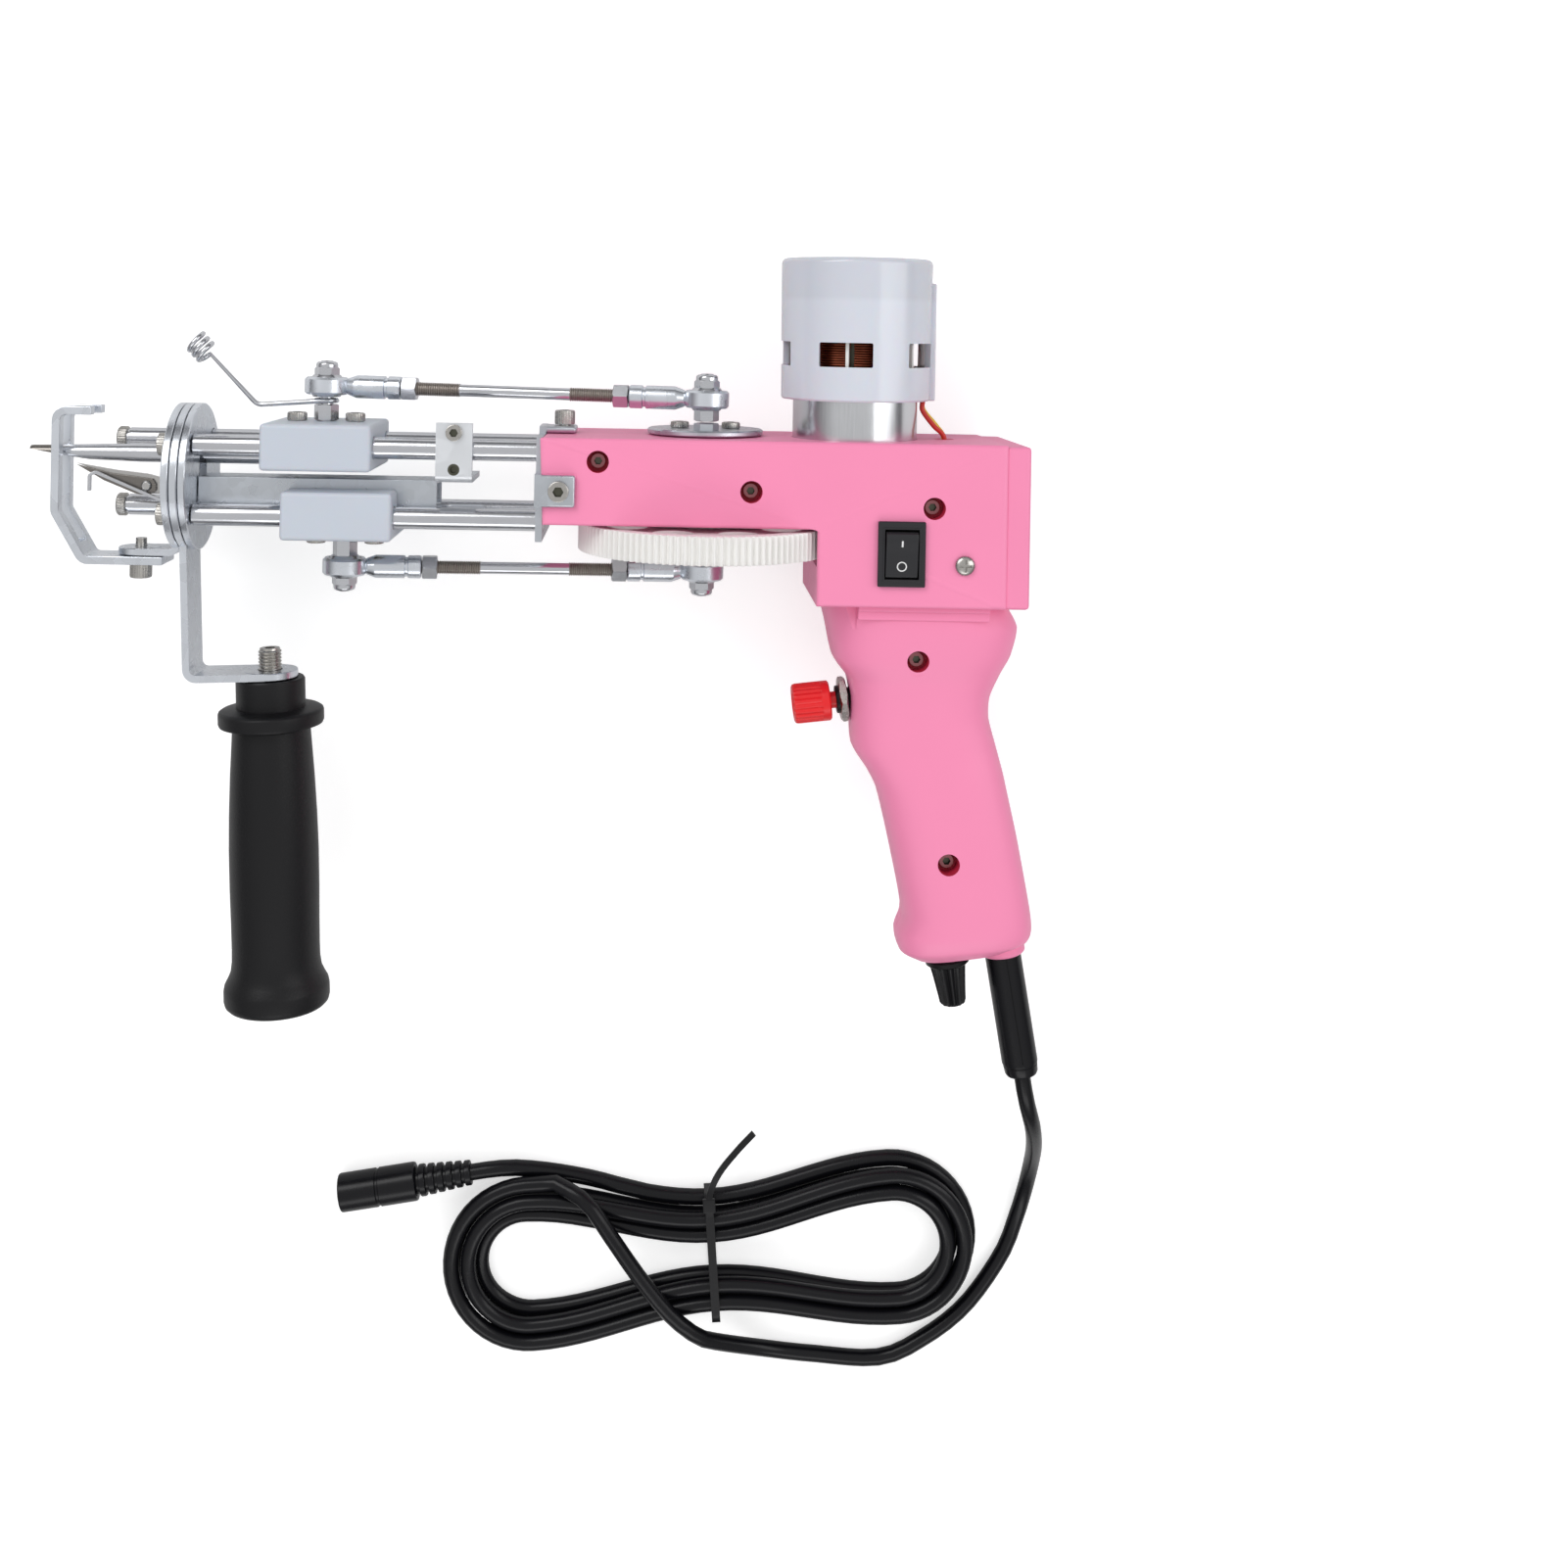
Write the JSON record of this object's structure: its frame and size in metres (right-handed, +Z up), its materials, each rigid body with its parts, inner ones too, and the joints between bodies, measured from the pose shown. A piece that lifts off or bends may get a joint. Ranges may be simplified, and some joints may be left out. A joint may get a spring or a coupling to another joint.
{
  "type": "handheld tufting machine",
  "caption": "Electric handheld tufting machine: gear driven needle and scissor carriages on rods, pistol grip, side handle, motor and corded supply.",
  "frame": {"origin": "middle of the machine's box on the surface it lies on, under the lowest point of the gear's rim, without the free cord and what is on it", "axes": "the machine lies on its side: +X runs from the needle to the back cover, +Y from the grip to the motor, +Z up, from the far half of the housing to the half with the switch"},
  "size_m": [0.379, 0.4277, 0.0912],
  "materials": {
    "black_plastic": "fine grained plastic",
    "black_rubber": "soft matt rubber",
    "dark_steel": "blackened steel",
    "lead_red": "wire insulation",
    "milky_nylon": "milky moulded plastic",
    "pink_plastic": "satin moulded plastic",
    "red_plastic": "glossy plastic",
    "steel": "bright steel",
    "white_nylon": "turned nylon",
    "zinc_plate": "bright zinc plated sheet"
  },
  "bodies": {
    "machine": {"bearing_lower": "steel", "bearing_upper": "steel", "bracket_screw": "steel", "channel_bracket": "zinc_plate", "cord_hank": "black_rubber", "cord_lead": "black_rubber", "cord_tail": "black_rubber", "cord_tie": "black_plastic", "dc_connector": "black_rubber", "front_handle": "black_rubber", "guide_channel": "zinc_plate", "guide_rod_lower_far": "steel", "guide_rod_lower_near": "steel", "guide_rod_upper_far": "steel", "guide_rod_upper_near": "steel", "handle_bracket": "zinc_plate", "housing_far": "pink_plastic", "housing_near": "pink_plastic", "motor_can": "steel", "motor_cap": "milky_nylon", "motor_lead": "lead_red", "motor_stator": "dark_steel", "plate_screw_lower": "steel", "plate_screw_upper": "steel", "presser_carrier": "zinc_plate", "presser_foot": "zinc_plate", "presser_screw": "steel", "rear_bracket": "zinc_plate", "rear_cover": "pink_plastic", "rear_plate": "zinc_plate", "rocker_bezel": "black_plastic", "speed_control": "steel", "strain_relief": "black_rubber", "trigger_bush": "black_plastic"},
    "drive": {"drive_gear": "white_nylon", "drive_shaft": "steel", "crank_disc": "zinc_plate"},
    "motor_rotor": {"motor_pinion": "steel"},
    "needle_carriage": {"needle_slide": "milky_nylon", "needle_slide_stud": "steel", "needle_holder": "steel", "needle": "steel", "yarn_guide": "steel"},
    "blade_carriage": {"blade_slide": "milky_nylon", "blade_slide_stud": "steel", "blade_bar": "steel", "fixed_blade": "dark_steel", "loop_hook": "zinc_plate"},
    "scissor_blade": {"moving_blade": "dark_steel"},
    "needle_linkage": {"needle_rod_end_front": "zinc_plate", "needle_rod": "steel", "needle_rod_end_crank": "zinc_plate", "needle_crank_stud": "steel"},
    "blade_linkage": {"blade_rod_end_front": "zinc_plate", "blade_rod": "steel", "blade_rod_end_crank": "zinc_plate", "blade_crank_stud": "steel"},
    "trigger": {"trigger_button": "red_plastic"},
    "power_rocker": {"rocker": "black_plastic"},
    "speed_dial": {"speed_knob": "black_plastic"}
  },
  "joints": [
    {"name": "drive_spin", "type": "hinge", "parent": "machine", "child": "drive", "pos_m": [0.05986, 0.06991, 0.0456], "axis": [0, 1, 0], "continuous": true},
    {"name": "motor_spin", "type": "hinge", "parent": "machine", "child": "motor_rotor", "pos_m": [0.11426, 0.06991, 0.0456], "axis": [0, 1, 0], "continuous": true},
    {"name": "needle_stroke", "type": "slide", "parent": "machine", "child": "needle_carriage", "axis": [1, 0, 0], "range_m": [-0.012, 0.012]},
    {"name": "blade_stroke", "type": "slide", "parent": "machine", "child": "blade_carriage", "axis": [1, 0, 0], "range_m": [-0.012, 0.012]},
    {"name": "needle_rod_swing", "type": "hinge", "parent": "needle_carriage", "child": "needle_linkage", "pos_m": [-0.0783, 0.09901, 0.0456], "axis": [0, 1, 0], "range_deg": [0, 9.93]},
    {"name": "blade_rod_swing", "type": "hinge", "parent": "blade_carriage", "child": "blade_linkage", "pos_m": [-0.07068, 0.03341, 0.0456], "axis": [0, 1, 0], "range_deg": [-10.5, 0]},
    {"name": "scissor_cut", "type": "hinge", "parent": "blade_carriage", "child": "scissor_blade", "pos_m": [-0.14316, 0.06141, 0.0456], "axis": [0, 0, 1], "range_deg": [0, 7]},
    {"name": "trigger_press", "type": "slide", "parent": "machine", "child": "trigger", "axis": [0.9925, 0.1219, 0], "range_m": [0, 0.0018], "stiffness_N_per_m": 300, "springref_m": -0.002},
    {"name": "rocker_tip", "type": "hinge", "parent": "machine", "child": "power_rocker", "pos_m": [0.12796, 0.04511, 0.0756], "axis": [1, 0, 0], "range_deg": [-14, 0]},
    {"name": "speed_turn", "type": "hinge", "parent": "machine", "child": "speed_dial", "pos_m": [0.15086, -0.10279, 0.0456], "axis": [-0.1564, 0.9877, 0], "range_deg": [0, 300]}
  ],
  "couplings": [
    {"joint": "motor_spin", "follows": "drive_spin", "ratio": -4.6667},
    {"joint": "blade_stroke", "follows": "needle_stroke", "ratio": -1}
  ]
}
